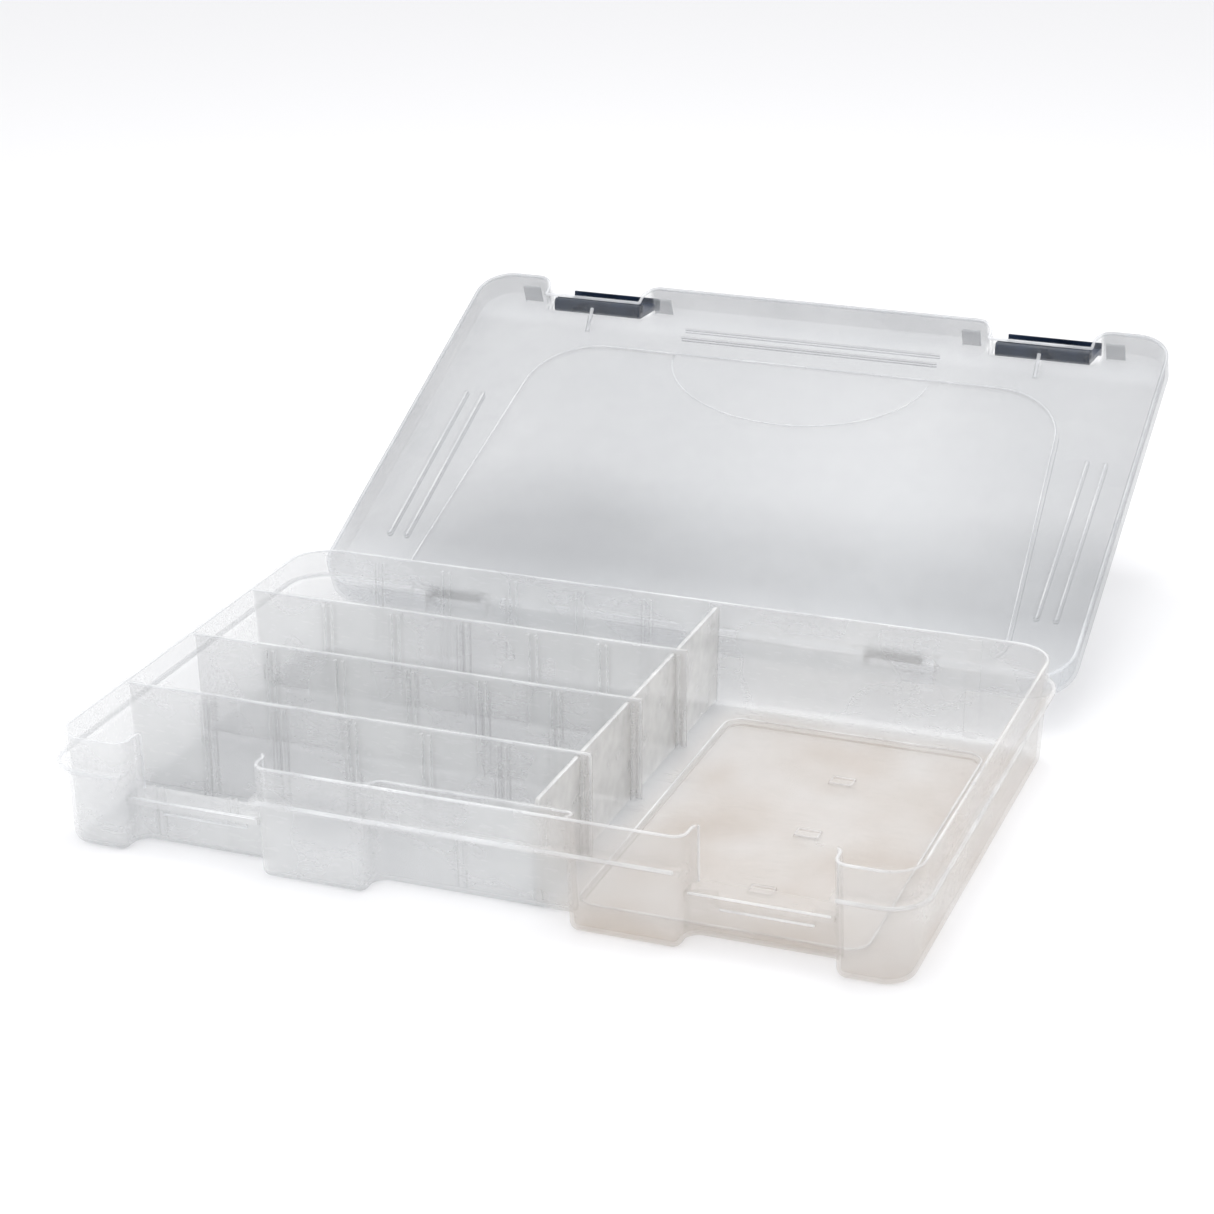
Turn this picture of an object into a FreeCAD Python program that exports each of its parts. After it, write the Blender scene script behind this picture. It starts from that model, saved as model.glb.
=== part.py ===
import FreeCAD, Part
import math
import os

# Flat tackle box with a hinged lid, two snap latches and four lift-out row dividers.
# Millimetres. X runs along the length, Y from the latches to the hinges and Z up.
# z = 0 is the flat underside. The pieces are written with the lid open.

Vector = FreeCAD.Vector
os.makedirs("parts", exist_ok=True)

# Tray
rim_length = 350.0          # over the rim along X
rim_width = 228.0           # over the rim along Y
rim_height = 47.3
corner_radius = 18.0        # the two rear corners
front_corner_radius = 14.0
wall = 1.6
floor = 1.8
draft_inset = 2.0           # the walls lean in this far at the underside
bottom_round = 3.5          # outside, between wall and underside
cavity_round = 1.8          # inside, between wall and floor
edge_radius = 6.0           # upright outer edges of the front blocks
nook_radius = 3.0           # upright inner edges of the front recesses
least_radius = 0.4

# Front recesses
recess_depth = 12.5
latch_centre = 115.5        # from the middle of the box
latch_bay_width = 55.0
grip_width = 79.0
grip_band_bottom = 31.0     # the rim band bridges the grip recess above this height
grip_wall_top = 44.0
grip_gusset_x = 33.0
grip_gusset_reach = 3.0

# Flange under the lid's skirt
flange_reach = 3.2
flange_thickness = 2.0
flange_top = 34.9

# Rows on the left, one open compartment on the right
row_wall_y = (56.7, 1.5, -54.9)
row_wall_end = 29.8
row_wall_top = 46.7
end_slot_x = 24.6
slot_pitch = 32.3
slot_count = 6
front_slots = (0, 1, 4, 5)  # slots with a recess wall in front of them
rib_width = 1.3
rib_reach = 1.9
rib_top = 44.5

# Dividers
divider_thickness = 1.5
divider_clearance = 0.35
divider_top = 45.8
divider_corner = 2.0

# Open compartment
panel_left = 37.0
panel_side_margin = 24.0    # from the rim line
panel_end_margin = 21.0     # from the rim line, front and rear
panel_radius = 8.0
panel_step = 1.0
nub_places = ((102.5, 44.0), (103.5, -8.0), (101.5, -61.5))
nub_size = (10.0, 7.0, 1.4)
pilaster_margin = 35.0      # its middle, from the rim line's side
pilaster_width = 6.0
pilaster_reach = 1.4

# Catch bars
catch_top = 24.0
catch_depth = 3.5           # the bar's front face, behind the rim line
catch_clearance = 0.4       # between a closed hook and its bar
window_margin = 1.0         # wall left standing each side of the window over the bar
catch_web_bottom = 12.8     # where the sloping web meets the recess wall
catch_web_reach = 4.0       # how far the web stands out under the bar
catch_web_width = 37.0

# Lid
lid_gap = 1.4               # between the rim and the skirt
skirt = 1.6
skirt_bottom = 36.0
lid_bottom = 47.6           # underside of the plate, on the rim
plate = 1.5
plate_round = 1.3
raised_step = 1.7
raised_front_margin = 31.0  # from the rim line
raised_rear_margin = 13.0
raised_front_side = 41.0    # from the rim line's side, at the panel's front
raised_rear_side = 29.0
raised_radius = 36.0
ridge_height = 0.8
ridge_width = 2.6
side_ridge_margins = (22.4, 13.6)
side_ridge_front = 77.0     # the ridges' ends, from the rim line
side_ridge_rear = 45.0
front_ridge_margins = (13.5, 20.0)
front_ridge_half = 66.0
badge_half_x = 66.0
badge_depth_y = 44.0
badge_step = 0.5
fin_thickness = 1.8
fin_bottom = 40.5
fin_reach = 12.0            # behind the recess line
tab_width = 9.0
tab_thickness = 1.4
tab_bottom = 38.0
tab_depth = 4.5             # its middle, behind the rim line
tab_offset = 35.5           # from the latch's centre line, both ways

# Hinges
hinge_offset = 5.5          # the axis, behind the rim line's rear
hinge_z = 30.5
hinge_centre = 103.0        # from the middle of the box
hinge_pin_radius = 2.0
knuckle_length = 25.0
knuckle_radius = 4.0
knuckle_mouth = 3.0
running_clearance = 0.05
ear_gap = 0.4               # along the pin
ear_radius = 3.2
inner_ear = 3.4
outer_ear = 6.2
ear_foot = 18.0
flange_gap_margin = 0.6
open_angle = 156.0

# Latches
latch_width = 46.6
latch_pin_radius = 1.5
latch_pivot_depth = 4.5     # behind the rim line's front, as are the next depths
latch_pivot_z = 46.3
latch_barrel_radius = 3.0
latch_mouth = 2.3
latch_front_depth = 0.4
latch_thickness = 2.2
hook_tip_depth = 5.2
hook_top = 20.6
hook_bottom = 18.3
pull_proud = 1.4            # how far the flared lower edge stands before the rim line
pull_top = 24.5
grip_line_count = 3
grip_line_pitch = 2.4
grip_line_size = 0.5
rest_swing = 117.0          # degrees out from closed, where the open latch rests

front_y = -rim_width / 2
rear_y = rim_width / 2
side_x = rim_length / 2
recess_y = front_y + recess_depth
hinge_y = rear_y + hinge_offset
latch_pivot_y = front_y + latch_pivot_depth
latch_front = front_y + latch_front_depth
hook_tip = front_y + hook_tip_depth
pull_front = front_y - pull_proud
catch_front = front_y + catch_depth
tab_y = front_y + tab_depth
raised_front = front_y + raised_front_margin
raised_rear = rear_y - raised_rear_margin
side_ridges_y = (front_y + side_ridge_front, rear_y - side_ridge_rear)
latch_recesses = [
    (-latch_centre - latch_bay_width / 2, -latch_centre + latch_bay_width / 2),
    (latch_centre - latch_bay_width / 2, latch_centre + latch_bay_width / 2),
]
grip_recess = (-grip_width / 2, grip_width / 2)
all_recesses = [latch_recesses[0], grip_recess, latch_recesses[1]]
plate_top = lid_bottom + plate


def inset_at(z):
    """How far a drafted wall stands inside the rim line at height z."""
    return draft_inset * (1 - z / rim_height)


def rounded_wire(corners, z):
    """Closed wire through corners (x, y, radius), each rounded by a tangent arc."""
    arcs = []
    for index, (x, y, radius) in enumerate(corners):
        here = Vector(x, y, z)
        before = Vector(corners[index - 1][0], corners[index - 1][1], z)
        following = corners[(index + 1) % len(corners)]
        after = Vector(following[0], following[1], z)
        back = (before - here).normalize()
        ahead = (after - here).normalize()
        half = back.getAngle(ahead) / 2
        middle = (back + ahead).normalize() * (radius / math.sin(half) - radius)
        reach = radius / math.tan(half)
        arcs.append((here + back * reach, here + middle, here + ahead * reach))
    edges = []
    for index, (start, middle, end) in enumerate(arcs):
        edges.append(Part.Arc(start, middle, end).toShape())
        next_start = arcs[(index + 1) % len(arcs)][0]
        edges.append(Part.LineSegment(end, next_start).toShape())
    return Part.Wire(edges)


def outline(inset, recesses):
    """Plan corners of the rim line moved inwards by inset, with its front recesses."""
    front = front_y + inset
    side = side_x - inset
    front_corner = front_corner_radius - inset
    rear_corner = corner_radius - inset
    edge = max(edge_radius - inset, least_radius)
    nook = max(nook_radius + inset, least_radius)
    corners = [(-side, front, front_corner)]
    for low, high in recesses:
        corners.append((low - inset, front, edge))
        corners.append((low - inset, recess_y + inset, nook))
        corners.append((high + inset, recess_y + inset, nook))
        corners.append((high + inset, front, edge))
    corners.append((side, front, front_corner))
    corners.append((side, rear_y - inset, rear_corner))
    corners.append((-side, rear_y - inset, rear_corner))
    return corners


def drafted(extra, recesses, low, high):
    """Solid inside the drafted wall line, moved inwards by extra, between two heights."""
    lower = rounded_wire(outline(inset_at(low) + extra, recesses), low)
    upper = rounded_wire(outline(inset_at(high) + extra, recesses), high)
    return Part.makeLoft([lower, upper], True, True)


def prism(corners, low, high):
    """Upright solid on a plan of rounded corners."""
    face = Part.Face(rounded_wire(corners, low))
    return face.extrude(Vector(0, 0, high - low))


def block(x_span, y_span, z_span):
    """Box between two values on each axis."""
    lows = [min(x_span), min(y_span), min(z_span)]
    highs = [max(x_span), max(y_span), max(z_span)]
    sizes = [high - low for low, high in zip(lows, highs)]
    return Part.makeBox(sizes[0], sizes[1], sizes[2], Vector(*lows))


def side_plate(profile, x_low, x_high):
    """Solid with a (y, z) profile, along X."""
    points = [Vector(x_low, y, z) for y, z in profile]
    face = Part.Face(Part.makePolygon(points + points[:1]))
    return face.extrude(Vector(x_high - x_low, 0, 0))


def bar(radius, y, z, x_low, x_high):
    """Round bar along X."""
    return Part.makeCylinder(radius, x_high - x_low, Vector(x_low, y, z), Vector(1, 0, 0))


def both_sides(shape):
    """The shape and its mirror image across the middle of the box."""
    return [shape, shape.mirror(Vector(0, 0, 0), Vector(1, 0, 0))]


def round_edges_at(shape, z, radius):
    """Round every edge that lies at height z."""
    edges = [
        edge for edge in shape.Edges
        if abs(edge.BoundBox.ZMin - z) < 1e-4 and abs(edge.BoundBox.ZMax - z) < 1e-4
    ]
    return shape.makeFillet(radius, edges)


def opened(shape):
    """The closed lid's shape swung to where the open lid stands."""
    turned = shape.copy()
    turned.rotate(Vector(0, hinge_y, hinge_z), Vector(-1, 0, 0), open_angle)
    return turned


def tray_shell():
    """Outer solid and hollow shell of the tray."""
    outer = round_edges_at(drafted(0, all_recesses, 0, rim_height), 0, bottom_round)
    cavity = drafted(wall, all_recesses, floor, rim_height + 1)
    cavity = round_edges_at(cavity, floor, cavity_round)
    return outer, outer.cut(cavity)


def grip_band():
    """Rim band across the finger grip, with a gusset near each end."""
    ring = drafted(0, latch_recesses, grip_band_bottom, rim_height)
    ring = ring.cut(drafted(wall, latch_recesses, grip_band_bottom, rim_height))
    span = grip_width / 2 + edge_radius
    window = block((-span, span), (front_y - 1, front_y + 2 * wall), (0, rim_height))
    pieces = [ring.common(window)]
    back = front_y + inset_at(grip_band_bottom) + wall / 2
    for side in (-1, 1):
        x = side * grip_gusset_x
        pieces.append(block(
            (x - wall / 2, x + wall / 2),
            (back, front_y + wall + grip_gusset_reach),
            (grip_band_bottom + 1.5, rim_height - 1.5),
        ))
    return pieces


def flange_ring():
    """Shelf round the tray, open at the latch bays, the grip and the hinges."""
    low = flange_top - flange_thickness
    ring = prism(outline(-flange_reach, []), low, flange_top)
    ring = ring.cut(drafted(wall / 2, all_recesses, 0, rim_height))
    tall = (low - 1, flange_top + 1)
    beside = wall / 2
    grip = (grip_recess[0] - beside, grip_recess[1] + beside)
    cuts = [block(grip, (front_y + wall / 2, recess_y + wall), tall)]
    bay_low = latch_centre - latch_bay_width / 2 - beside
    bay_high = latch_centre + latch_bay_width / 2 + beside
    half_gap = knuckle_length / 2 + ear_gap + flange_gap_margin
    low_x = hinge_centre - half_gap - inner_ear
    high_x = hinge_centre + half_gap + outer_ear
    for side in (-1, 1):
        bay_span = (side * bay_low, side * bay_high)
        cuts.append(block(bay_span, (front_y - 2 * flange_reach, recess_y + wall), tall))
        hinge_span = (side * low_x, side * high_x)
        cuts.append(block(hinge_span, (rear_y - wall / 2, rear_y + 2 * flange_reach), tall))
    return ring.cut(cuts)


def row_walls():
    """Fixed walls between the rows, each with its divider slots."""
    slots = [end_slot_x - slot_pitch * index for index in range(slot_count)]
    rib_offset = divider_thickness / 2 + divider_clearance + rib_width / 2
    rib_centres = [x + side * rib_offset for x in slots for side in (-1, 1)]
    low = floor / 2
    pieces = []
    for y in row_wall_y:
        left = -side_x + wall / 2
        thick = (y - wall / 2, y + wall / 2)
        pieces.append(block((left, row_wall_end), thick, (low, row_wall_top)))
        reach = wall / 2 + rib_reach
        for x in rib_centres:
            pieces.append(block(
                (x - rib_width / 2, x + rib_width / 2), (y - reach, y + reach), (low, rib_top),
            ))
    rear_low = rear_y - inset_at(low) - wall
    rear_high = rear_y - inset_at(rib_top) - wall
    rear_profile = [
        (rear_low - rib_reach, low), (rear_low + wall / 2, low),
        (rear_high + wall / 2, rib_top), (rear_high - rib_reach, rib_top),
    ]
    for x in rib_centres:
        pieces.append(side_plate(rear_profile, x - rib_width / 2, x + rib_width / 2))
    front_low = recess_y + inset_at(low) + wall
    front_high = recess_y + inset_at(grip_wall_top) + wall
    front_top = grip_wall_top - 1
    front_profile = [
        (front_low - wall / 2, low), (front_low + rib_reach, low),
        (front_high + rib_reach, front_top), (front_high - wall / 2, front_top),
    ]
    for index in front_slots:
        for side in (-1, 1):
            x = slots[index] + side * rib_offset
            pieces.append(side_plate(front_profile, x - rib_width / 2, x + rib_width / 2))
    return pieces


def floor_panel_corners(inset):
    """Plan corners of the raised floor panel."""
    x_low = panel_left + inset
    x_high = side_x - panel_side_margin - inset
    y_low = front_y + panel_end_margin + inset
    y_high = rear_y - panel_end_margin - inset
    radius = panel_radius - inset
    return [
        (x_low, y_low, radius), (x_high, y_low, radius),
        (x_high, y_high, radius), (x_low, y_high, radius),
    ]


def compartment_details():
    """Raised floor panel, its three nubs, and the upright rib on the rear wall."""
    pieces = [prism(floor_panel_corners(0), floor / 2, floor + panel_step)]
    for x, y in nub_places:
        length, width, height = nub_size
        pieces.append(block(
            (x - length / 2, x + length / 2), (y - width / 2, y + width / 2),
            (floor, floor + panel_step + height),
        ))
    low = floor / 2
    high = rim_height - 1
    inner_low = rear_y - inset_at(low) - wall
    inner_high = rear_y - inset_at(high) - wall
    profile = [
        (inner_low - pilaster_reach, low), (inner_low + wall / 2, low),
        (inner_high + wall / 2, high), (inner_high - pilaster_reach, high),
    ]
    half = pilaster_width / 2
    middle = side_x - pilaster_margin
    pieces.append(side_plate(profile, middle - half, middle + half))
    return pieces


def catch_bars():
    """Bar across each latch bay that a hook snaps under, with a web below it."""
    bottom = hook_top + catch_clearance
    inside = recess_y + inset_at(catch_web_bottom) + wall / 2
    half = latch_bay_width / 2 + wall / 2
    profile = [
        (inside, catch_top), (catch_front, catch_top),
        (catch_front, bottom), (inside, bottom),
    ]
    bars = both_sides(side_plate(profile, latch_centre - half, latch_centre + half))
    web_front = recess_y - catch_web_reach
    web_profile = [
        (inside, catch_top - 1), (web_front, catch_top - 1),
        (web_front, bottom - 1), (inside, catch_web_bottom),
    ]
    half_web = catch_web_width / 2
    webs = both_sides(side_plate(web_profile, latch_centre - half_web, latch_centre + half_web))
    return bars + webs


def hinge_ears():
    """Two ears and the moulded pin of each hinge."""
    pin_low = hinge_centre - knuckle_length / 2 - ear_gap
    pin_high = hinge_centre + knuckle_length / 2 + ear_gap
    inside = rear_y - wall / 2
    foot = rear_y - inset_at(ear_foot) - wall / 2
    profile = [
        (foot, ear_foot), (hinge_y, hinge_z - ear_radius),
        (hinge_y, hinge_z + ear_radius), (inside, hinge_z + ear_radius),
    ]
    pieces = []
    for low, high in ((pin_low - inner_ear, pin_low), (pin_high, pin_high + outer_ear)):
        pieces += both_sides(side_plate(profile, low, high))
        pieces += both_sides(bar(ear_radius, hinge_y, hinge_z, low, high))
    pin = bar(hinge_pin_radius, hinge_y, hinge_z, pin_low - 1, pin_high + 1)
    return pieces + both_sides(pin)


def make_tray():
    """The whole moulded tray."""
    outer, shell = tray_shell()
    inside = row_walls() + compartment_details()
    inside = [piece.common(outer) for piece in inside]
    tray = shell.multiFuse(inside + catch_bars() + hinge_ears() + [flange_ring()] + grip_band())
    behind_band = front_y + wall + 0.05
    slope = [
        (behind_band, rim_height), (recess_y, grip_wall_top), (recess_y + 2 * wall, grip_wall_top),
        (recess_y + 2 * wall, rim_height + 1), (behind_band, rim_height + 1),
    ]
    half = grip_width / 2 + 2 * wall
    cuts = [side_plate(slope, -half, half)]
    window = latch_bay_width / 2 - window_margin
    cuts += both_sides(block(
        (latch_centre - window, latch_centre + window),
        (recess_y - wall, recess_y + 2 * wall + rib_reach), (catch_top, rim_height + 1),
    ))
    cuts.append(prism(floor_panel_corners(wall), -1, panel_step))
    return tray.cut(cuts).removeSplitter()


def make_divider(rear_face, front_face):
    """One row divider between two walls, given as functions of height."""
    low = floor + divider_clearance
    profile = [
        (front_face(low) + divider_clearance, low), (rear_face(low) - divider_clearance, low),
        (rear_face(divider_top) - divider_clearance, divider_top),
        (front_face(divider_top) + divider_clearance, divider_top),
    ]
    half = divider_thickness / 2
    plate_solid = side_plate(profile, end_slot_x - half, end_slot_x + half)
    across = [
        edge for edge in plate_solid.Edges
        if edge.BoundBox.XLength > half and max(edge.BoundBox.YLength, edge.BoundBox.ZLength) < half
    ]
    return plate_solid.makeFillet(divider_corner, across)


def divider_faces():
    """Rear and front faces that each divider stands between, from the rear row to the front."""
    rears = [lambda z: rear_y - inset_at(z) - wall]
    fronts = []
    for y in row_wall_y:
        fronts.append(lambda z, y=y: y + wall / 2)
        rears.append(lambda z, y=y: y - wall / 2)
    fronts.append(lambda z: recess_y + inset_at(z) + wall)
    return list(zip(rears, fronts))


def raised_panel_corners(inset):
    """Plan corners of the lid's raised panel."""
    radius = raised_radius - inset
    front = raised_front + inset
    rear = raised_rear - inset
    front_half = side_x - raised_front_side - inset
    rear_half = side_x - raised_rear_side - inset
    return [
        (-front_half, front, radius), (front_half, front, radius),
        (rear_half, rear, radius / 2), (-rear_half, rear, radius / 2),
    ]


def ridge(x_span, y_span):
    """Ridge outside the plate and the matching groove under it."""
    radius = min(x_span[1] - x_span[0], y_span[1] - y_span[0]) / 2 - 0.05
    corners = [
        (x_span[0], y_span[0], radius), (x_span[1], y_span[0], radius),
        (x_span[1], y_span[1], radius), (x_span[0], y_span[1], radius),
    ]
    raised = prism(corners, lid_bottom, plate_top + ridge_height)
    groove = prism(corners, lid_bottom - 1, lid_bottom + ridge_height)
    return raised, groove


def badge_area(low, high):
    """Half-ellipse on the front middle of the raised panel."""
    ellipse = Part.Ellipse(Vector(0, raised_front, low), badge_half_x, badge_depth_y)
    curve = ellipse.toShape(0, math.pi)
    left = Vector(-badge_half_x, raised_front, low)
    right = Vector(badge_half_x, raised_front, low)
    chord = Part.LineSegment(left, right)
    face = Part.Face(Part.Wire([curve, chord.toShape()]))
    return face.extrude(Vector(0, 0, high - low))


def lid_plate_and_skirt():
    """Plate, skirt and the raised and sunk areas of the plate, closed position."""
    shell = prism(outline(-lid_gap - skirt, latch_recesses), skirt_bottom, plate_top)
    shell = round_edges_at(shell, plate_top, plate_round)
    added = [prism(raised_panel_corners(0), lid_bottom, plate_top + raised_step)]
    removed = [
        prism(outline(-lid_gap, latch_recesses), skirt_bottom - 1, lid_bottom),
        prism(raised_panel_corners(plate), lid_bottom - 1, lid_bottom + raised_step),
    ]
    half = ridge_width / 2
    spans = []
    for margin in side_ridge_margins:
        x = side_x - margin
        spans.append(((x - half, x + half), side_ridges_y))
        spans.append(((-x - half, -x + half), side_ridges_y))
    for margin in front_ridge_margins:
        y = front_y + margin
        spans.append(((-front_ridge_half, front_ridge_half), (y - half / 2, y + half / 2)))
    for x_span, y_span in spans:
        outside, inside = ridge(x_span, y_span)
        added.append(outside)
        removed.append(inside)
    top = plate_top + raised_step
    shell = shell.multiFuse(added).cut(removed)
    shell = shell.cut(badge_area(top - badge_step, top + 1))
    return shell.fuse(badge_area(top - plate - badge_step, top - badge_step))


def lid_fins_and_tabs():
    """Fin behind each latch, locating tabs beside it, and the pin that the latch turns on."""
    wall_face = recess_y - lid_gap
    profile = [
        (wall_face - skirt / 2, lid_bottom + plate / 2), (wall_face - skirt / 2, fin_bottom),
        (wall_face + 2.0, fin_bottom), (recess_y + fin_reach, lid_bottom),
        (recess_y + fin_reach, lid_bottom + plate / 2),
    ]
    half = fin_thickness / 2
    pieces = both_sides(side_plate(profile, latch_centre - half, latch_centre + half))
    for side in (-1, 1):
        x = latch_centre + side * tab_offset
        pieces += both_sides(block(
            (x - tab_width / 2, x + tab_width / 2),
            (tab_y - tab_thickness / 2, tab_y + tab_thickness / 2),
            (tab_bottom, lid_bottom + plate / 2),
        ))
    half_bay = latch_bay_width / 2 - lid_gap - skirt / 2
    low = latch_centre - half_bay
    high = latch_centre + half_bay
    pin = bar(latch_pin_radius, latch_pivot_y, latch_pivot_z, low, high)
    return pieces + both_sides(pin)


def lid_knuckles():
    """Open-sided knuckle of each hinge and its arm down from the rear skirt."""
    inner = rear_y + lid_gap
    outer = inner + skirt
    profile = [
        (inner + 0.2, skirt_bottom + 3), (inner + 0.2, hinge_z), (hinge_y, hinge_z),
        (hinge_y + knuckle_radius, hinge_z), (hinge_y + knuckle_radius - 1, skirt_bottom),
        (outer, skirt_bottom + 5), (outer, skirt_bottom + 3),
    ]
    low = hinge_centre - knuckle_length / 2
    high = hinge_centre + knuckle_length / 2
    arm = side_plate(profile, low, high)
    knuckle = arm.fuse(bar(knuckle_radius, hinge_y, hinge_z, low, high))
    bore = bar(hinge_pin_radius + running_clearance, hinge_y, hinge_z, low - 1, high + 1)
    mouth = block(
        (low - 1, high + 1), (hinge_y - knuckle_mouth / 2, hinge_y + knuckle_mouth / 2),
        (hinge_z - 2 * knuckle_radius, hinge_z),
    )
    return both_sides(knuckle.cut([bore, mouth]))


def make_lid():
    """The whole moulded lid in its closed position."""
    return lid_plate_and_skirt().multiFuse(lid_fins_and_tabs() + lid_knuckles()).removeSplitter()


def make_latch(side):
    """Snap latch in the closed lid's frame, swung out to its rest angle."""
    back = latch_front + latch_thickness
    top = latch_pivot_z + latch_barrel_radius
    profile = [
        (latch_front, top - 1.3), (latch_front + 1.3, top),
        (latch_pivot_y, top), (latch_pivot_y, latch_pivot_z),
        (back, latch_pivot_z - latch_barrel_radius), (back, hook_top), (hook_tip, hook_top),
        (hook_tip, hook_top - 1.2), (hook_tip - 1.2, hook_bottom), (pull_front, hook_bottom),
        (pull_front, hook_bottom + 1.0), (latch_front, pull_top),
    ]
    low = side * latch_centre - latch_width / 2
    high = low + latch_width
    pieces = [bar(latch_barrel_radius, latch_pivot_y, latch_pivot_z, low, high)]
    half = grip_line_size / 2
    for index in range(grip_line_count):
        z = pull_top + 2 + grip_line_pitch * index
        pieces.append(block(
            (low + 3, high - 3), (latch_front - grip_line_size, latch_front + half),
            (z - half, z + half),
        ))
    latch = side_plate(profile, low, high).multiFuse(pieces)
    bore = bar(latch_pin_radius + running_clearance, latch_pivot_y, latch_pivot_z, low - 1, high + 1)
    mouth = block(
        (low - 1, high + 1), (latch_pivot_y, latch_pivot_y + 2 * latch_barrel_radius),
        (latch_pivot_z - latch_mouth / 2, latch_pivot_z + latch_mouth / 2),
    )
    latch = latch.cut([bore, mouth]).removeSplitter()
    latch.rotate(Vector(0, latch_pivot_y, latch_pivot_z), Vector(-1, 0, 0), rest_swing)
    return latch


def write(node, shape):
    """One STEP file per piece, with its solid's volume printed."""
    solid = shape.Solids[0] if len(shape.Solids) == 1 else shape
    solid.exportStep("parts/" + node + ".step")
    box = solid.BoundBox
    print(
        node, "solids", len(shape.Solids), "valid", solid.isValid(), "cm3", round(solid.Volume / 1000, 2),
        "x", round(box.XMin, 1), round(box.XMax, 1),
        "y", round(box.YMin, 1), round(box.YMax, 1),
        "z", round(box.ZMin, 1), round(box.ZMax, 1),
    )


write("base_tray", make_tray())
write("lid", opened(make_lid()))
write("latch_left", opened(make_latch(-1)))
write("latch_right", opened(make_latch(1)))
for number, (rear_face, front_face) in enumerate(divider_faces(), start=1):
    write("row_divider_" + str(number), make_divider(rear_face, front_face))
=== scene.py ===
import math
import bmesh
import bpy
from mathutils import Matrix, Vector


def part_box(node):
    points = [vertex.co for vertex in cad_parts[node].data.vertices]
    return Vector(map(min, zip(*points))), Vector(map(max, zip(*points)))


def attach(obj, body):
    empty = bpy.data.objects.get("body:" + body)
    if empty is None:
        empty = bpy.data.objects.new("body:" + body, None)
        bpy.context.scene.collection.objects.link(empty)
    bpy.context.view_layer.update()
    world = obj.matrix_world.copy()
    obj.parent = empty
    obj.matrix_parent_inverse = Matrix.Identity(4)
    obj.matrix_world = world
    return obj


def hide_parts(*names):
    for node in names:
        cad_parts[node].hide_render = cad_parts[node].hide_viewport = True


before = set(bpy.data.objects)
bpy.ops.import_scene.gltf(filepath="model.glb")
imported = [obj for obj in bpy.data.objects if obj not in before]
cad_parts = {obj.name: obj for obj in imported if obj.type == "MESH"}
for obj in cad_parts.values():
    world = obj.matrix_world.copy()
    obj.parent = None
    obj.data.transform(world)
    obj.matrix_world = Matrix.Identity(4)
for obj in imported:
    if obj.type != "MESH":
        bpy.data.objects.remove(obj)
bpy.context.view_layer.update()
print("frame loaded:", len(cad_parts), "parts")

mm = 0.001

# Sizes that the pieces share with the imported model, in millimetres, lid closed
box = {
    "length": 350.0, "width": 228.0, "rim": 47.3, "wall": 1.6, "draft": 2.0,
    "rearCorner": 18.0, "frontCorner": 14.0, "edgeRound": 6.0, "nookRound": 3.0,
    "recessDepth": 12.5, "latchCentre": 115.5, "latchBay": 55.0,
    "flangeReach": 3.2, "flangeTop": 34.9, "flangeThick": 2.0,
    "lidGap": 1.4, "skirt": 1.6, "skirtBottom": 36.0, "plateBottom": 47.6, "plate": 1.5,
    "hingeY": 119.5, "hingeZ": 30.5, "openAngle": 156.0,
}
frontY = -box["width"] / 2
rearY = box["width"] / 2
recessY = frontY + box["recessDepth"]
half = box["latchBay"] / 2
latchBays = [(s * box["latchCentre"] - half, s * box["latchCentre"] + half) for s in (-1, 1)]


def insetAt(z):
    return box["draft"] * (1 - z / box["rim"])


def openLid(p):
    # the closed lid's point, swung to where the open lid stands
    a = math.radians(box["openAngle"])
    dy, dz = p[1] - box["hingeY"], p[2] - box["hingeZ"]
    y = box["hingeY"] + dy * math.cos(a) + dz * math.sin(a)
    z = box["hingeZ"] - dy * math.sin(a) + dz * math.cos(a)
    return (p[0], y, z)


def roundedPath(corners, z, steps=7):
    # points along a closed plan outline whose corners (x, y, radius) are arcs
    points = []
    count = len(corners)
    for i, (x, y, radius) in enumerate(corners):
        here = Vector((x, y))
        back = (Vector(corners[i - 1][:2]) - here).normalized()
        ahead = (Vector(corners[(i + 1) % count][:2]) - here).normalized()
        halfTurn = back.angle(ahead) / 2
        reach = radius / math.tan(halfTurn)
        centre = here + (back + ahead).normalized() * radius / math.sin(halfTurn)
        start = here + back * reach - centre
        turn = start.angle_signed(here + ahead * reach - centre)
        for k in range(steps + 1):
            a = -turn * k / steps
            offset = Vector((start.x * math.cos(a) - start.y * math.sin(a),
                             start.x * math.sin(a) + start.y * math.cos(a)))
            points.append((centre.x + offset.x, centre.y + offset.y, z))
    return points


def rimOutline(inset, recesses, z):
    # the rim line moved inwards, with its front recesses
    front, side = frontY + inset, box["length"] / 2 - inset
    edge = max(box["edgeRound"] - inset, 0.4)
    nook = max(box["nookRound"] + inset, 0.4)
    corners = [(-side, front, box["frontCorner"] - inset)]
    for low, high in recesses:
        corners += [(low - inset, front, edge), (low - inset, recessY + inset, nook),
                    (high + inset, recessY + inset, nook), (high + inset, front, edge)]
    corners += [(side, front, box["frontCorner"] - inset),
                (side, rearY - inset, box["rearCorner"] - inset),
                (-side, rearY - inset, box["rearCorner"] - inset)]
    return roundedPath(corners, z)


def densify(points, gap):
    # extra points along a closed path's long straights, so that it can be cut between them
    out = []
    for i in range(len(points)):
        a, b = Vector(points[i]), Vector(points[(i + 1) % len(points)])
        n = max(1, math.ceil((b - a).length / gap))
        out += [tuple(a.lerp(b, k / n)) for k in range(n)]
    return out


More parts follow.
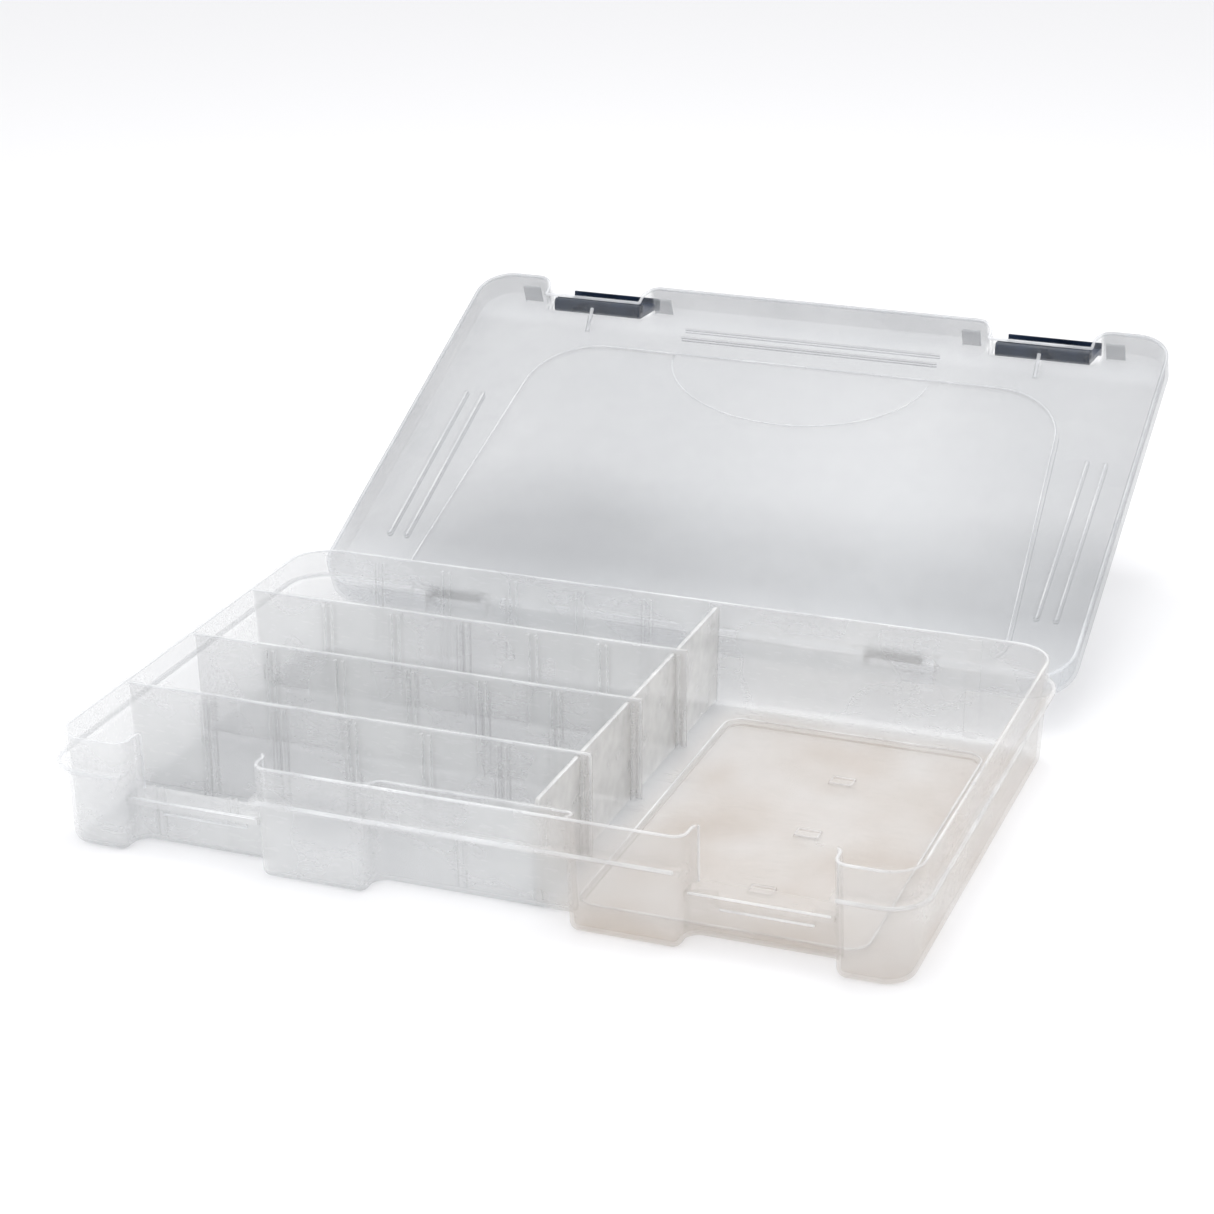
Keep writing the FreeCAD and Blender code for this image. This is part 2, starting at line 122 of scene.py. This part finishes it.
def cutPath(points, keep):
    # open runs of a closed path where keep(point) holds
    flags = [keep(p) for p in points]
    if all(flags):
        return [(points, True)]
    first = flags.index(False)
    order = [(first + i) % len(points) for i in range(len(points))]
    runs, run = [], []
    for i in order:
        if flags[i]:
            run.append(points[i])
        elif run:
            runs.append((run, False))
            run = []
    if run:
        runs.append((run, False))
    return [r for r in runs if len(r[0]) > 2]


# Materials

def toLinear(hexText):
    values = [int(hexText[i:i + 2], 16) / 255 for i in (1, 3, 5)]
    return [v / 12.92 if v <= 0.04045 else ((v + 0.055) / 1.055) ** 2.4 for v in values] + [1.0]


def addNode(tree, kind, settings=None, links=None):
    # settings: attribute or input name to value; links: input name to an output socket
    node = tree.nodes.new(kind)
    for name, value in (settings or {}).items():
        if name in node.inputs:
            node.inputs[name].default_value = value
        else:
            setattr(node, name, value)
    for name, socket in (links or {}).items():
        tree.links.new(socket, node.inputs[name])
    return node


def startMaterial(name):
    material = bpy.data.materials.new(name)
    material.use_nodes = True
    material.node_tree.nodes.clear()
    return material, material.node_tree


def perMillimetre(size):
    # noise scale for features of this size, with coordinates in metres
    return 1000.0 / size


def rampBetween(tree, factor, stops):
    ramp = addNode(tree, "ShaderNodeValToRGB", None, {"Fac": factor})
    elements = ramp.color_ramp.elements
    while len(elements) < len(stops):
        elements.new(0.5)
    for element, (place, colour) in zip(elements, stops):
        element.position = place
        element.color = toLinear(colour)
    return ramp.outputs["Color"]


def tinted(tree, amount, colour, tint):
    mix = addNode(tree, "ShaderNodeMix", {"data_type": "RGBA"})
    tree.links.new(amount, mix.inputs[0])
    tree.links.new(colour, mix.inputs[6])
    mix.inputs[7].default_value = toLinear(tint)
    return mix.outputs[2]


def faded(tree, value, low, high, atLow=0.0, atHigh=1.0):
    # a straight change between two values of the input, level outside them
    ends = {"From Min": low, "From Max": high, "To Min": atLow, "To Max": atHigh}
    return addNode(tree, "ShaderNodeMapRange", ends, {"Value": value}).outputs["Result"]


def product(tree, first, second):
    node = addNode(tree, "ShaderNodeMath", {"operation": "MULTIPLY"})
    tree.links.new(first, node.inputs[0])
    tree.links.new(second, node.inputs[1])
    return node.outputs["Value"]


def awayFrom(tree, value, centre):
    # the distance from a mirrored pair of places
    whole = addNode(tree, "ShaderNodeMath", {"operation": "ABSOLUTE"})
    tree.links.new(value, whole.inputs[0])
    offset = addNode(tree, "ShaderNodeMath", {"operation": "SUBTRACT"})
    tree.links.new(whole.outputs["Value"], offset.inputs[0])
    offset.inputs[1].default_value = centre
    distance = addNode(tree, "ShaderNodeMath", {"operation": "ABSOLUTE"})
    tree.links.new(offset.outputs["Value"], distance.inputs[0])
    return distance.outputs["Value"]


# Injection-moulded polypropylene: milky see-through walls with a satin skin.
# The haze drifts a little with wall thickness, and handling leaves fine scuffs.
def mouldedPolypropylene(name, look):
    material, tree = startMaterial(name)
    place = addNode(tree, "ShaderNodeTexCoord").outputs["Object"]
    x, y, z = addNode(tree, "ShaderNodeSeparateXYZ", None, {"Vector": place}).outputs
    flow = addNode(tree, "ShaderNodeTexNoise",
                   {"Scale": perMillimetre(look["flow"]), "Detail": 2.0}, {"Vector": place})
    colour = rampBetween(tree, flow.outputs["Fac"],
                         [(0.35, look["dark"]), (0.65, look["light"])])
    density = faded(tree, flow.outputs["Fac"], 0.3, 0.7,
                    look["haze"] - look["drift"], look["haze"] + look["drift"])
    if "stain" in look:
        # the open compartment has yellowed slightly with use, most of all its floor
        blotch = addNode(tree, "ShaderNodeTexNoise",
                         {"Scale": perMillimetre(46), "Detail": 3.0}, {"Vector": place})
        used = product(tree, faded(tree, x, 0.02, 0.05, 0.0, 1.5),
                       faded(tree, y, 0.092, 0.112, 1.0, 0.0))
        used = product(tree, used, faded(tree, z, 0.004, 0.012, 1.0, 0.6))
        colour = tinted(tree, product(tree, used, blotch.outputs["Fac"]), colour, look["stain"])
        # painted shade: the rows' floor is tinted greyer than the walls, darkening the bottoms of
        # the narrow rows
        rowFloorShade = product(tree, faded(tree, z, 0.0018, 0.003, 1.0, 0.0),
                           faded(tree, x, 0.024, 0.034, 1.0, 0.0))
        colour = tinted(tree, rowFloorShade, colour, look["rowFloorShade"])
    if "paintedLightTint" in look:
        # painted light: the lid's colour is made paler near the hinges and near the latches,
        # lifting the shade that gathers where its many layers overlap
        colour = tinted(tree, faded(tree, y, 0.125, 0.175, 1.0, 0.0), colour, look["paintedLightTint"])
        colour = tinted(tree, faded(tree, y, 0.321, 0.3245, 0.0, 0.2), colour, look["paintedLightTint"])
        # the thin walls behind the latches are nearly clear
        beside = awayFrom(tree, x, box["latchCentre"] * mm)
        thin = product(tree, faded(tree, beside, 0.0275, 0.029, 1.0, 0.0),
                       faded(tree, z, 0.106, 0.1075))
        density = product(tree, density, faded(tree, thin, 0.0, 1.0, 1.0, 0.33))
    if "hinge" in look:
        # many thin faces meet at the hinges, so each of them is clearer there
        density = product(tree, density, faded(tree, y, *look["hinge"]))
    grain = addNode(tree, "ShaderNodeTexNoise",
                    {"Scale": perMillimetre(look["grain"]), "Detail": 3.0, "Roughness": 0.7},
                    {"Vector": place})
    stretched = addNode(tree, "ShaderNodeMapping",
                        {"Scale": (0.25, 1.0, 1.0), "Rotation": (0, 0, 0.5)}, {"Vector": place})
    scuffs = addNode(tree, "ShaderNodeTexNoise", {"Scale": perMillimetre(1.6), "Detail": 2.0},
                     {"Vector": stretched.outputs["Vector"]})
    scuffed = faded(tree, scuffs.outputs["Fac"], 0.55, 0.75, look["rough"], look["rough"] + 0.1)
    skin = addNode(tree, "ShaderNodeBump", {"Strength": look["bump"], "Distance": 0.00008},
                   {"Height": grain.outputs["Fac"]})
    # painted highlight: a look with a glow gets a faint white emission
    shader = addNode(tree, "ShaderNodeBsdfPrincipled",
                     {"IOR": 1.49, "Specular IOR Level": look["gloss"],
                      "Emission Color": toLinear("#FFFFFF"),
                      "Emission Strength": look.get("glow", 0.0)},
                     {"Base Color": colour, "Roughness": scuffed, "Alpha": density,
                      "Normal": skin.outputs["Normal"]})
    addNode(tree, "ShaderNodeOutputMaterial", None, {"Surface": shader.outputs["BSDF"]})
    return material


# Acetal, moulded dark navy: a dense satin plastic, a touch shinier where fingers rub it
def mouldedAcetal(name, look):
    material, tree = startMaterial(name)
    place = addNode(tree, "ShaderNodeTexCoord").outputs["Object"]
    cloud = addNode(tree, "ShaderNodeTexNoise",
                    {"Scale": perMillimetre(14), "Detail": 3.0}, {"Vector": place})
    colour = rampBetween(tree, cloud.outputs["Fac"], [(0.35, look["dark"]), (0.7, look["light"])])
    rub = faded(tree, cloud.outputs["Fac"], 0.35, 0.7, look["rough"] - 0.07, look["rough"] + 0.08)
    spark = addNode(tree, "ShaderNodeTexNoise",
                    {"Scale": perMillimetre(0.5), "Detail": 2.0}, {"Vector": place})
    skin = addNode(tree, "ShaderNodeBump", {"Strength": 0.35, "Distance": 0.00006},
                   {"Height": spark.outputs["Fac"]})
    shader = addNode(tree, "ShaderNodeBsdfPrincipled", {"IOR": 1.48, "Specular IOR Level": 0.5},
                     {"Base Color": colour, "Roughness": rub,
                      "Normal": skin.outputs["Normal"]})
    addNode(tree, "ShaderNodeOutputMaterial", None, {"Surface": shader.outputs["BSDF"]})
    return material


finishes = {
    "trayPolypropylene": {"dark": "#E3E4E5", "light": "#EEEFEF", "stain": "#C9BDB1", "flow": 38,
                          # the rows' floor tint is painted shade
                          "rowFloorShade": "#C8CACC", "hinge": (0.1150, 0.1165, 1.0, 0.4),
                          "grain": 0.7, "rough": 0.24, "haze": 0.3, "drift": 0.03,
                          "bump": 0.25, "gloss": 0.5},
    # the lid's pale tint is painted light
    "lidPolypropylene": {"dark": "#8A8D91", "light": "#9FA2A5", "flow": 55, "paintedLightTint": "#DEE1E4",
                         "hinge": (0.1240, 0.1280, 0.3, 1.0),
                         "grain": 0.7, "rough": 0.2, "haze": 0.36, "drift": 0.05,
                         "bump": 0.25, "gloss": 0.5},
    "frostedPolypropylene": {"dark": "#EFEEEC", "light": "#F8F7F5", "flow": 12,
                             "grain": 0.45, "rough": 0.42, "haze": 0.31, "drift": 0.05,
                             "bump": 0.6, "gloss": 0.4},
    # painted highlight: thick rounded edges gather light, so these beads get a whiter colour,
    # denser than the walls, and a faint white glow
    "edgeHighlightPolypropylene": {"dark": "#E9EBEE", "light": "#F8F9FB", "flow": 25,
                          "grain": 0.7, "rough": 0.16, "haze": 0.42, "drift": 0.16,
                          "bump": 0.1, "gloss": 0.6, "glow": 0.1},
    # painted highlight: shallow steps in the lid's plate catch less light than its free edges, so
    # they are clearer, but a faint white glow brightens them
    "shallowEdgeHighlightPolypropylene": {"dark": "#E6E9EC", "light": "#F4F5F7", "flow": 25,
                                 "grain": 0.7, "rough": 0.2, "haze": 0.3, "drift": 0.1,
                                 "bump": 0.1, "gloss": 0.5, "glow": 0.16},
}
materials = {name: mouldedPolypropylene(name, look) for name, look in finishes.items()}
materials["navyAcetal"] = mouldedAcetal("navyAcetal", {"dark": "#0B1A2E", "light": "#142A46",
                                                      "rough": 0.34})
print("materials made:", len(materials))

wears = {
    "base_tray": "trayPolypropylene", "lid": "lidPolypropylene",
    "row_divider_1": "frostedPolypropylene", "row_divider_2": "frostedPolypropylene",
    "row_divider_3": "frostedPolypropylene", "row_divider_4": "frostedPolypropylene",
    "latch_left": "navyAcetal", "latch_right": "navyAcetal",
}
for node, finish in wears.items():
    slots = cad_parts[node].material_slots
    for slot in slots:
        slot.material = materials[finish]
print("finishes given to", len(wears), "parts")


# Rounded beads that follow the moulding's edges
beadSides = 8


def beadTree():
    # a polyline swept with a round section, capped where it is open
    tree = bpy.data.node_groups.new("mouldedBead", "GeometryNodeTree")
    face = tree.interface
    face.new_socket("Geometry", in_out="INPUT", socket_type="NodeSocketGeometry")
    face.new_socket("Radius", in_out="INPUT", socket_type="NodeSocketFloat")
    face.new_socket("Finish", in_out="INPUT", socket_type="NodeSocketMaterial")
    face.new_socket("Geometry", in_out="OUTPUT", socket_type="NodeSocketGeometry")
    start = addNode(tree, "NodeGroupInput")
    line = addNode(tree, "GeometryNodeMeshToCurve", None, {"Mesh": start.outputs["Geometry"]})
    ring = addNode(tree, "GeometryNodeCurvePrimitiveCircle", {"Resolution": beadSides},
                   {"Radius": start.outputs["Radius"]})
    sweep = addNode(tree, "GeometryNodeCurveToMesh", {"Fill Caps": True},
                    {"Curve": line.outputs["Curve"], "Profile Curve": ring.outputs["Curve"]})
    smooth = addNode(tree, "GeometryNodeSetShadeSmooth", None, {"Geometry": sweep.outputs["Mesh"]})
    real = addNode(tree, "GeometryNodeRealizeInstances", None,
                   {"Geometry": smooth.outputs["Geometry"]})
    coat = addNode(tree, "GeometryNodeSetMaterial", None,
                   {"Geometry": real.outputs["Geometry"], "Material": start.outputs["Finish"]})
    addNode(tree, "NodeGroupOutput", None, {"Geometry": coat.outputs["Geometry"]})
    return tree


def setInput(modifier, tree, name, value):
    for item in tree.interface.items_tree:
        if item.item_type == "SOCKET" and item.in_out == "INPUT" and item.name == name:
            modifier[item.identifier] = value


def outwardVolume(mesh):
    form = bmesh.new()
    form.from_mesh(mesh)
    volume = form.calc_volume(signed=True)
    form.free()
    return volume


def applied(holder):
    # the evaluated result as a plain mesh object at the origin, faces outwards
    result = bpy.data.meshes.new_from_object(
        holder.evaluated_get(bpy.context.evaluated_depsgraph_get()))
    name = holder.name
    bpy.data.objects.remove(holder)
    result.name = name
    piece = bpy.data.objects.new(name, result)
    bpy.context.scene.collection.objects.link(piece)
    if outwardVolume(result) < 0:
        form = bmesh.new()
        form.from_mesh(result)
        bmesh.ops.reverse_faces(form, faces=form.faces)
        form.to_mesh(result)
        form.free()
    return piece


beads = beadTree()


def makeBead(name, runs, radius, body, finish="edgeHighlightPolypropylene"):
    # runs: lists of (points in mm, closed)
    mesh = bpy.data.meshes.new(name)
    verts, edges = [], []
    for points, closed in runs:
        start = len(verts)
        verts += [tuple(v * mm for v in p) for p in points]
        edges += [(start + i, start + i + 1) for i in range(len(points) - 1)]
        if closed:
            edges.append((len(verts) - 1, start))
    mesh.from_pydata(verts, edges, [])
    holder = bpy.data.objects.new(name, mesh)
    bpy.context.scene.collection.objects.link(holder)
    modifier = holder.modifiers.new("bead", "NODES")
    modifier.node_group = beads
    setInput(modifier, beads, "Radius", radius * mm)
    setInput(modifier, beads, "Finish", materials[finish])
    bpy.context.view_layer.update()
    piece = applied(holder)
    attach(piece, body)
    return piece


rimBead = {"radius": 0.55, "below": 0.5, "window": 26.9, "gap": 1.2}
rimZ = box["rim"] - rimBead["below"]
rimPath = densify(rimOutline(box["wall"] / 2, latchBays, rimZ), rimBead["gap"])


def besideWindow(p):
    # the wall behind each latch is cut down to its catch bar
    return not (p[1] < recessY + 3 and abs(abs(p[0]) - box["latchCentre"]) < rimBead["window"])


makeBead("rim_bead", cutPath(rimPath, besideWindow), rimBead["radius"], "tray")

# The posts of the window over each catch bar, and the bar's own edges
catchBar = {"top": 24.0, "front": -110.5, "half": 27.2, "webHalf": 18.3, "webFoot": 13.3,
            "webMiddle": 13.0, "radius": 0.5, "sunk": 0.45}
barFront = catchBar["front"] + catchBar["sunk"]
barTop = catchBar["top"] - catchBar["sunk"]
webFront = recessY + insetAt(catchBar["webMiddle"]) + 0.2
windowPost = {"radius": 0.45, "behind": 0.75, "inside": 0.3, "foot": catchBar["top"] - 0.5}
windowRuns, barRuns = [], []
for s in (-1, 1):
    centre = s * box["latchCentre"]
    reach = rimBead["window"] - windowPost["inside"]
    for x in (centre - reach, centre + reach):
        windowRuns.append(([(x, recessY + insetAt(z) + windowPost["behind"], z)
                            for z in (rimZ, windowPost["foot"])], False))
    barEdges = ((catchBar["half"], barFront, barTop),
                (catchBar["webHalf"], webFront, catchBar["webFoot"]))
    for reach, y, z in barEdges:
        barRuns.append(([(centre - reach, y, z), (centre + reach, y, z)], False))
makeBead("window_bead", windowRuns, windowPost["radius"], "tray")
makeBead("catch_bar_bead", barRuns, catchBar["radius"], "tray")

# The grip's wall slopes from the rim band down to a lower edge
gripWall = {"x": 40.3, "front": -112.2, "bend": -104.5, "y": -100.7, "low": 43.4, "mid": 44.25,
            "high": 46.6, "round": 3.8, "radius": 0.5}
gripRun = []
for s in (-1, 1):
    side = [(s * gripWall["x"], gripWall["front"], gripWall["high"]),
            (s * gripWall["x"], gripWall["bend"], gripWall["mid"])]
    for k in range(1, 6):
        a = math.pi / 2 * k / 5
        side.append((s * (gripWall["x"] - gripWall["round"] * (1 - math.cos(a))),
                     gripWall["y"] - gripWall["round"] * (1 - math.sin(a)),
                     gripWall["mid"] + (gripWall["low"] - gripWall["mid"]) * k / 5))
    gripRun += side if s < 0 else side[::-1]
makeBead("grip_bead", [(gripRun, False)], gripWall["radius"], "tray")

flangeBead = {"radius": 0.8, "hingeClear": (86.0, 125.0), "gap": 1.5}
flangePath = densify(rimOutline(flangeBead["radius"] - box["flangeReach"], [],
                                box["flangeTop"] - box["flangeThick"] / 2),
                     flangeBead["gap"])


def onFlange(p):
    inBay = any(low - 2 < p[0] < high + 2 for low, high in latchBays) and p[1] < 0
    low, high = flangeBead["hingeClear"]
    atHinge = p[1] > rearY - 2 and low < abs(p[0]) < high
    return not inBay and not atHinge


makeBead("flange_bead", cutPath(flangePath, onFlange), flangeBead["radius"], "tray")

rowWalls = {"y": (56.7, 1.5, -54.9), "left": -173.4, "end": 29.1, "top": 46.7, "radius": 0.58,
            "foot": 2.6}
wallRuns = []
for y in rowWalls["y"]:
    top = rowWalls["top"] - 0.65
    wallRuns.append(([(rowWalls["left"], y, top), (rowWalls["end"] - 1.2, y, top),
                      (rowWalls["end"] - 0.3, y, top - 0.3), (rowWalls["end"], y, top - 1.2),
                      (rowWalls["end"], y, rowWalls["foot"])], False))
makeBead("row_wall_bead", wallRuns, rowWalls["radius"], "tray")

floorPanel = {"x": (37.0, 151.0), "y": (-93.0, 93.0), "round": 8.0, "top": 2.8, "radius": 0.55}
xs, ys = floorPanel["x"], floorPanel["y"]
panelCorners = [(x, y, floorPanel["round"]) for x, y in
                ((xs[0], ys[0]), (xs[1], ys[0]), (xs[1], ys[1]), (xs[0], ys[1]))]
makeBead("floor_panel_bead", [(roundedPath(panelCorners, floorPanel["top"] - 0.35), True)],
         floorPanel["radius"], "tray")

floorNubs = {"places": ((102.5, 44.0), (103.5, -8.0), (101.5, -61.5)), "half": (4.7, 3.2),
             "z": 3.9, "round": 0.6, "radius": 0.32}
nubRuns = []
for x, y in floorNubs["places"]:
    hx, hy = floorNubs["half"]
    corners = [(x + sx * hx, y + sy * hy, floorNubs["round"])
               for sx, sy in ((-1, -1), (1, -1), (1, 1), (-1, 1))]
    nubRuns.append((roundedPath(corners, floorNubs["z"], 3), True))
makeBead("floor_nub_bead", nubRuns, floorNubs["radius"], "tray")
print("tray beads made")

# Lid, drawn closed and swung open
lidEdge = {"radius": 0.74, "above": 0.7}
edgePath = rimOutline(-box["lidGap"] - box["skirt"] / 2, latchBays,
                      box["skirtBottom"] + lidEdge["above"])
makeBead("lid_edge_bead", [([openLid(p) for p in edgePath], True)], lidEdge["radius"], "lid")

lidPanel = {"front": -83.0, "rear": 101.0, "frontHalf": 134.0, "rearHalf": 146.0, "round": 36.0,
            "radius": 0.5}
inset = box["plate"]
lidCorners = [
    (-lidPanel["frontHalf"] + inset, lidPanel["front"] + inset, lidPanel["round"] - inset),
    (lidPanel["frontHalf"] - inset, lidPanel["front"] + inset, lidPanel["round"] - inset),
    (lidPanel["rearHalf"] - inset, lidPanel["rear"] - inset, lidPanel["round"] / 2 - inset),
    (-lidPanel["rearHalf"] + inset, lidPanel["rear"] - inset, lidPanel["round"] / 2 - inset),
]
panelPath = roundedPath(lidCorners, box["plateBottom"] + 0.5, 10)
makeBead("lid_panel_bead", [([openLid(p) for p in panelPath], True)], lidPanel["radius"], "lid",
         "shallowEdgeHighlightPolypropylene")

lidRidges = {"sideX": (152.6, 161.4), "sideY": (-37.0, 69.0), "radius": 0.45, "z": 48.5}
ridgeRuns = []
for s in (-1, 1):
    for x in lidRidges["sideX"]:
        ridgeRuns.append(([openLid((s * x, y, lidRidges["z"])) for y in lidRidges["sideY"]], False))
makeBead("lid_ridge_bead", ridgeRuns, lidRidges["radius"], "lid",
         "shallowEdgeHighlightPolypropylene")

# Fins that stiffen the inset walls behind the latches
lidFin = {"foot": (-101.4, 41.2), "root": (-90.9, 47.5), "radius": 0.95}
finRuns = []
for s in (-1, 1):
    ends = [openLid((s * box["latchCentre"], y, z)) for y, z in (lidFin["foot"], lidFin["root"])]
    finRuns.append((ends, False))
makeBead("lid_fin_bead", finRuns, lidFin["radius"], "lid")

badge = {"steps": 48, "half": 66.0, "depth": 44.0, "z": 49.05, "radius": 0.4}
arc = [(badge["half"] * math.cos(math.pi * k / badge["steps"]),
        lidPanel["front"] + badge["depth"] * math.sin(math.pi * k / badge["steps"]), badge["z"])
       for k in range(2, badge["steps"] - 1)]
makeBead("lid_arc_bead", [([openLid(p) for p in arc], False)], badge["radius"], "lid",
         "shallowEdgeHighlightPolypropylene")
print("lid beads made")

dividerEdge = {"radius": 0.62, "ends": 2.2}
for number in range(1, 5):
    low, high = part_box("row_divider_" + str(number))
    x = (low.x + high.x) / 2 / mm
    top = high.z / mm - dividerEdge["radius"]
    run = [(x, low.y / mm + dividerEdge["ends"], top), (x, high.y / mm - dividerEdge["ends"], top)]
    makeBead("divider_edge_" + str(number), [(run, False)], dividerEdge["radius"],
             "divider_" + str(number))
print("divider edges made")


def roundedCopy(name, node, width, finish, body):
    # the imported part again, with its sharp moulded edges rounded over
    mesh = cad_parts[node].data.copy()
    form = bmesh.new()
    form.from_mesh(mesh)
    bmesh.ops.remove_doubles(form, verts=form.verts, dist=2e-6)
    bmesh.ops.dissolve_limit(form, angle_limit=math.radians(1.0), verts=form.verts,
                             edges=form.edges)
    form.to_mesh(mesh)
    form.free()
    mesh.materials.clear()
    mesh.materials.append(materials[finish])
    holder = bpy.data.objects.new(name, mesh)
    bpy.context.scene.collection.objects.link(holder)
    edge = holder.modifiers.new("edges", "BEVEL")
    edge.width = width * mm
    edge.segments = 2
    edge.limit_method = "ANGLE"
    edge.angle_limit = math.radians(35)
    edge.use_clamp_overlap = True
    bpy.context.view_layer.update()
    piece = applied(holder)
    for face in piece.data.polygons:
        face.use_smooth = False
    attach(piece, body)
    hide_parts(node)
    return piece


latchEdge = {"width": 0.28}
for side in ("left", "right"):
    roundedCopy("latch_rounded_" + side, "latch_" + side, latchEdge["width"], "navyAcetal",
                "latch_" + side)
print("latches rounded")

# Camera, floor and studio light
view = {"place": (0.3931, -1.0025, 0.5065), "tilt": 90 - 21.469, "turn": 20.652, "lens": 85.53}
cameraData = bpy.data.cameras.new("camera")
cameraData.lens = view["lens"]
cameraData.sensor_width = 36.0
camera = bpy.data.objects.new("camera", cameraData)
camera.location = view["place"]
camera.rotation_euler = (math.radians(view["tilt"]), 0, math.radians(view["turn"]))
bpy.context.scene.collection.objects.link(camera)
bpy.context.scene.camera = camera

floorMesh = bpy.data.meshes.new("studio_floor")
reach = 6.0
floorMesh.from_pydata([(-reach, -reach, -0.0002), (reach, -reach, -0.0002),
                       (reach, reach, -0.0002), (-reach, reach, -0.0002)], [], [(0, 1, 2, 3)])
studioFloor = bpy.data.objects.new("studio_floor", floorMesh)
bpy.context.scene.collection.objects.link(studioFloor)
paper, tree = startMaterial("paleBackdropPaper")
shader = addNode(tree, "ShaderNodeBsdfPrincipled", {"Base Color": toLinear("#F7F7F8"),
                                                    "Roughness": 0.9, "Specular IOR Level": 0.1})
addNode(tree, "ShaderNodeOutputMaterial", None, {"Surface": shader.outputs["BSDF"]})
floorMesh.materials.append(paper)

world = bpy.data.worlds.new("studio")
world.use_nodes = True
world.node_tree.nodes["Background"].inputs["Color"].default_value = toLinear("#FDFDFE")
world.node_tree.nodes["Background"].inputs["Strength"].default_value = 0.95
bpy.context.scene.world = world


def softbox(name, place, target, size, power):
    data = bpy.data.lights.new(name, "AREA")
    data.shape = "RECTANGLE"
    data.size, data.size_y = size
    data.energy = power
    lamp = bpy.data.objects.new(name, data)
    lamp.location = place
    aim = Vector(target) - Vector(place)
    lamp.rotation_euler = aim.to_track_quat("-Z", "Y").to_euler()
    bpy.context.scene.collection.objects.link(lamp)


softbox("overhead_softbox", (0.1, 0.1, 1.4), (0, 0.0, 0), (0.9, 0.7), 6.0)
softbox("lid_softbox", (-0.24, 0.55, 1.05), (0.05, 0.25, 0.07), (0.3, 0.2), 1.3)
softbox("left_softbox", (-1.1, -0.5, 0.7), (0, 0, 0.05), (0.6, 0.6), 1.2)
bpy.context.scene.view_settings.view_transform = "Standard"
print("studio made")
